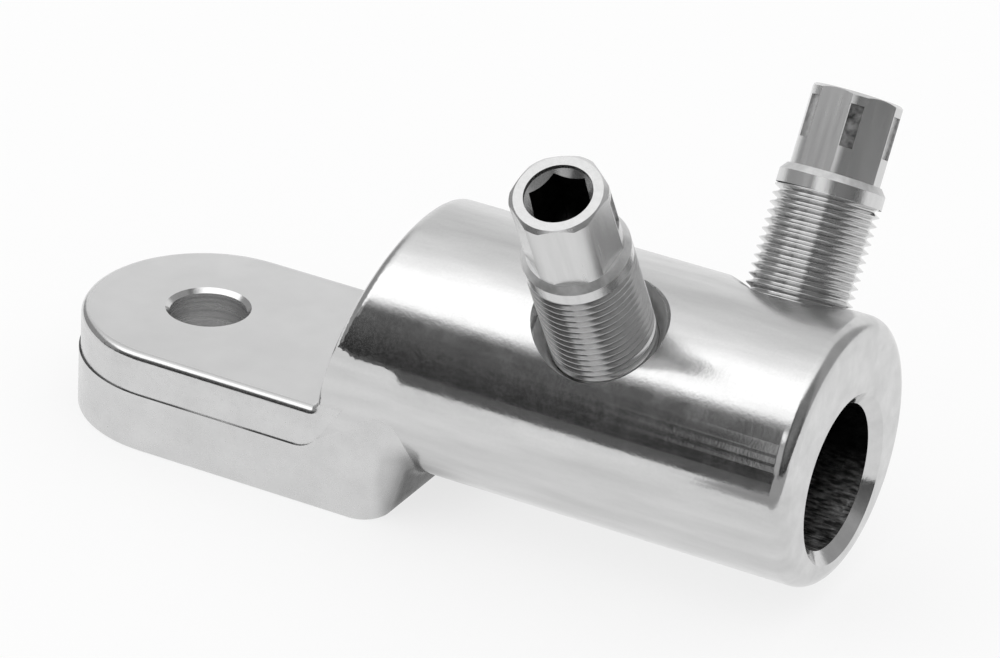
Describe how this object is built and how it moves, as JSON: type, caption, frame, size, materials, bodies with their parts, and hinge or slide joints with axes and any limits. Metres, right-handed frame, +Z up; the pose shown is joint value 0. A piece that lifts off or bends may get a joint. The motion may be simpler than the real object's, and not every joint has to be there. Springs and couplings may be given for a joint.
{
  "type": "mechanical cable lug",
  "caption": "Metal cable lug with a flat drilled palm, a round barrel with a blind bore, and leaning shear-head bolts that clamp the conductor.",
  "frame": {"origin": "on the axis of the palm's hole, in the plane of the palm's underside", "axes": "+X along the barrel, from the palm to the cable's mouth; +Z up, out of the palm's upper face"},
  "size_m": [0.0943, 0.0488, 0.0516],
  "materials": {
    "tinned_body": "tin plated, satin with a soft gloss on the turned barrel",
    "tinned_bolt": "tin plated, satin on the turned faces and rough in the threads"
  },
  "bodies": {
    "lug": {"lug_body": "tinned_body"},
    "rear_bolt": {"rear_shear_bolt": "tinned_bolt"},
    "front_bolt": {"front_shear_bolt": "tinned_bolt"}
  },
  "joints": [
    {"name": "rear_bolt_screw_in", "type": "slide", "parent": "lug", "child": "rear_bolt", "axis": [0, 0.5, -0.866], "range_m": [-0.005, 0.01]},
    {"name": "front_bolt_screw_in", "type": "slide", "parent": "lug", "child": "front_bolt", "axis": [0, -0.5, -0.866], "range_m": [-0.005, 0.01]}
  ]
}
